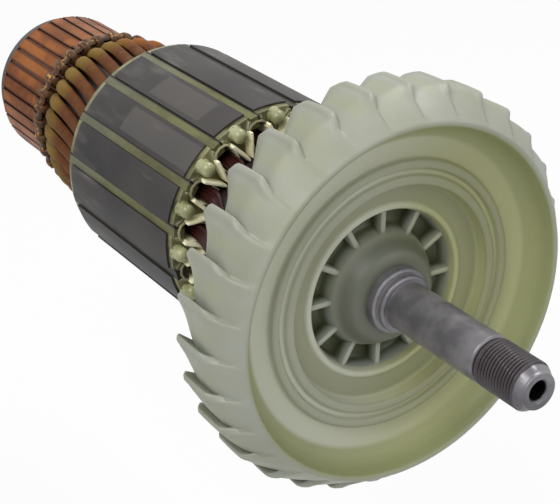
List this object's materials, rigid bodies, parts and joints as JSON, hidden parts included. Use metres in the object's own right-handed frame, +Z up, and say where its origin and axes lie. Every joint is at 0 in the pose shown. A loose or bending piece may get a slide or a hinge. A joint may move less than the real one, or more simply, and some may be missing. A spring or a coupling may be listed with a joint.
{
  "type": "motor armature",
  "caption": "Wound armature of a commutator motor, with a slotted core, copper commutator and bladed cooling fan on a threaded shaft.",
  "frame": {"origin": "on the shaft's axis, at the shoulder that the drive-end bearing sits against", "axes": "+X along the shaft towards the threaded drive end, +Z up"},
  "size_m": [0.2057, 0.0876, 0.0874],
  "materials": {
    "shaft_steel": "ground and turned, thin oil film",
    "sleeve_plastic": "matt moulded",
    "core_steel": "varnished laminations, satin",
    "insulator_plastic": "cream moulded",
    "liner_paper": "varnished insulating paper",
    "wedge_strip": "varnished strip",
    "winding_wire": "enamelled copper wire under amber varnish",
    "commutator_resin": "black moulded",
    "bar_copper": "turned copper, satin",
    "fan_plastic": "grey-olive moulded, glass filled"
  },
  "bodies": {
    "root": {"shaft": "shaft_steel", "shaft_insulation_sleeve": "sleeve_plastic", "lamination_stack": "core_steel", "front_end_insulator": "insulator_plastic", "rear_end_insulator": "insulator_plastic", "slot_liners": "liner_paper", "winding": "winding_wire", "commutator_moulding": "commutator_resin", "cooling_fan": "fan_plastic", "slot_wedge_01": "wedge_strip", "slot_wedge_02": "wedge_strip", "slot_wedge_03": "wedge_strip", "slot_wedge_04": "wedge_strip", "slot_wedge_05": "wedge_strip", "slot_wedge_06": "wedge_strip", "slot_wedge_07": "wedge_strip", "slot_wedge_08": "wedge_strip", "slot_wedge_09": "wedge_strip", "slot_wedge_10": "wedge_strip", "slot_wedge_11": "wedge_strip", "slot_wedge_12": "wedge_strip", "slot_wedge_13": "wedge_strip", "slot_wedge_14": "wedge_strip", "slot_wedge_15": "wedge_strip", "slot_wedge_16": "wedge_strip", "commutator_bar_01": "bar_copper", "commutator_bar_02": "bar_copper", "commutator_bar_03": "bar_copper", "commutator_bar_04": "bar_copper", "commutator_bar_05": "bar_copper", "commutator_bar_06": "bar_copper", "commutator_bar_07": "bar_copper", "commutator_bar_08": "bar_copper", "commutator_bar_09": "bar_copper", "commutator_bar_10": "bar_copper", "commutator_bar_11": "bar_copper", "commutator_bar_12": "bar_copper", "commutator_bar_13": "bar_copper", "commutator_bar_14": "bar_copper", "commutator_bar_15": "bar_copper", "commutator_bar_16": "bar_copper", "commutator_bar_17": "bar_copper", "commutator_bar_18": "bar_copper", "commutator_bar_19": "bar_copper", "commutator_bar_20": "bar_copper", "commutator_bar_21": "bar_copper", "commutator_bar_22": "bar_copper", "commutator_bar_23": "bar_copper", "commutator_bar_24": "bar_copper", "commutator_bar_25": "bar_copper", "commutator_bar_26": "bar_copper", "commutator_bar_27": "bar_copper", "commutator_bar_28": "bar_copper", "commutator_bar_29": "bar_copper", "commutator_bar_30": "bar_copper", "commutator_bar_31": "bar_copper", "commutator_bar_32": "bar_copper"}
  },
  "joints": []
}
